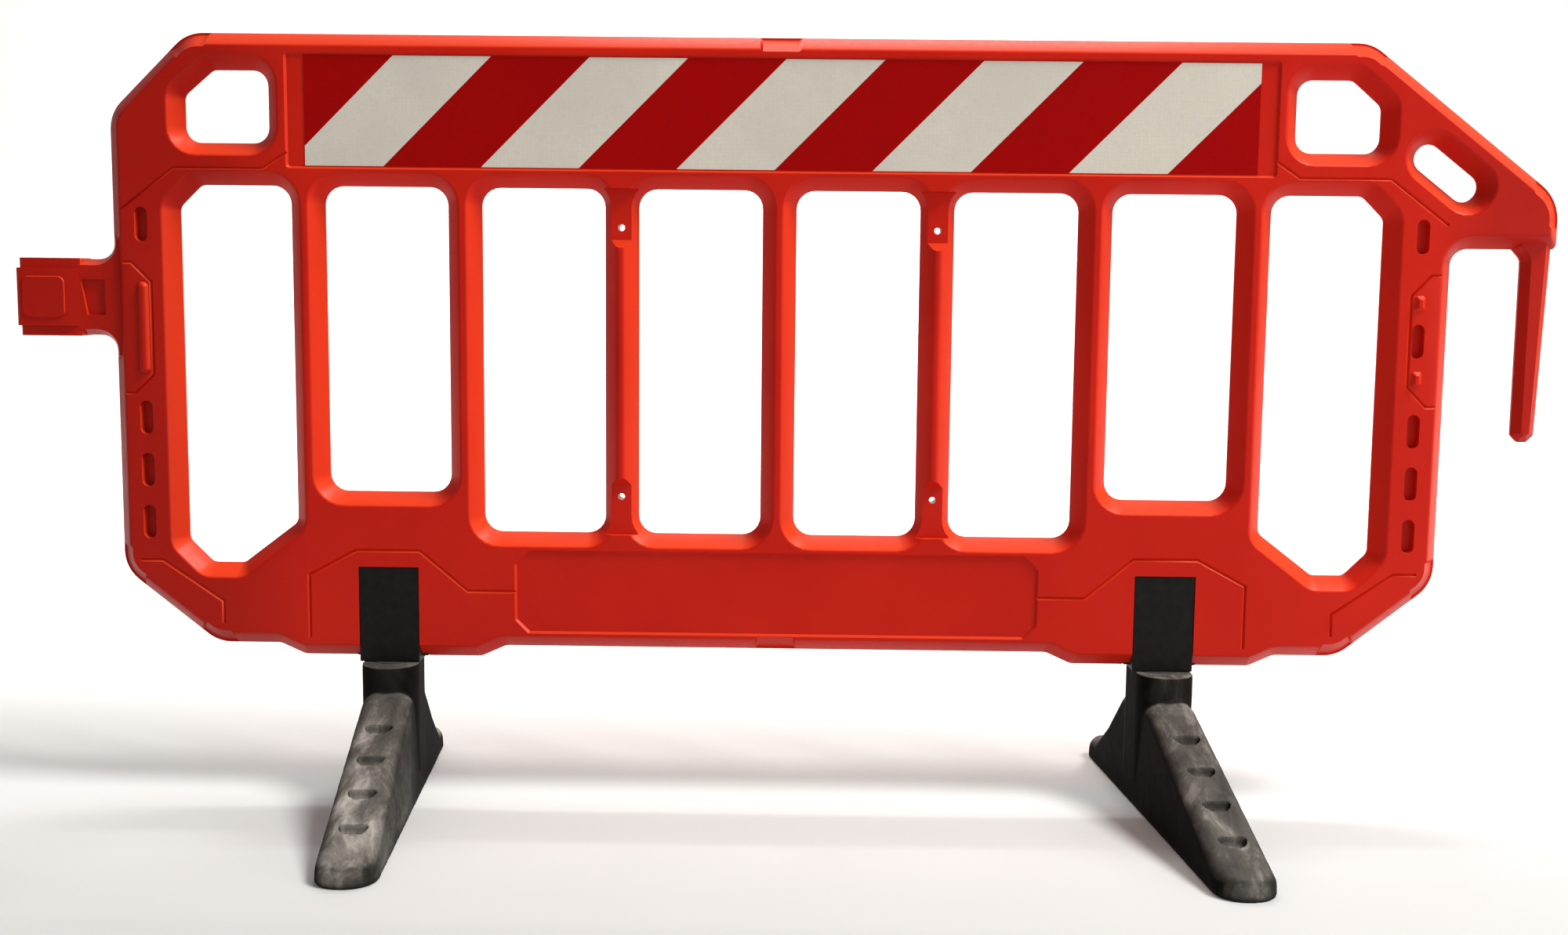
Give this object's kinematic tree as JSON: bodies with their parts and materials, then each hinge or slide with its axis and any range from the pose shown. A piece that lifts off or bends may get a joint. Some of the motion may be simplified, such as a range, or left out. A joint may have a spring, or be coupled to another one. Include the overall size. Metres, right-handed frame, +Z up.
{
  "type": "pedestrian barrier panel",
  "caption": "Moulded pedestrian barrier with barred windows, striped reflective board, end hook and lug for linking, and swivelling rubber feet.",
  "frame": {"origin": "on the ground, under the centre of the whole barrier's box", "axes": "+X along the panel from the link lug to the hook, +Y from the striped front to the back, +Z up"},
  "size_m": [2, 0.6074, 1],
  "materials": {
    "red_hdpe": "satin blow-moulded polyethylene",
    "red_sheeting": "retroreflective sheeting, red",
    "white_sheeting": "retroreflective sheeting, white",
    "black_nylon": "moulded, matt black",
    "recycled_rubber": "moulded recycled rubber, dusty",
    "bearing_nylon": "dark grey nylon with graphite",
    "zinc_steel": "zinc plated",
    "brass": "turned"
  },
  "bodies": {
    "panel_body": {"panel": "red_hdpe", "red_sheeting": "red_sheeting", "white_sheeting": "white_sheeting", "post_left": "black_nylon", "post_right": "black_nylon", "pivot_bolt_left": "zinc_steel", "pivot_bolt_right": "zinc_steel", "retaining_washer_left": "zinc_steel", "retaining_washer_right": "zinc_steel", "threaded_insert_left": "brass", "threaded_insert_right": "brass"},
    "left_foot": {"foot_left": "recycled_rubber", "bush_left": "bearing_nylon"},
    "right_foot": {"foot_right": "recycled_rubber", "bush_right": "bearing_nylon"}
  },
  "joints": [
    {"name": "left_foot_swivel", "type": "hinge", "parent": "panel_body", "child": "left_foot", "pos_m": [-0.5195, 0.08137, 0.136], "axis": [0, 0, 1], "range_deg": [-94.5, 85.5]},
    {"name": "right_foot_swivel", "type": "hinge", "parent": "panel_body", "child": "right_foot", "pos_m": [0.5055, 0.08137, 0.136], "axis": [0, 0, 1], "range_deg": [-95, 85]}
  ]
}
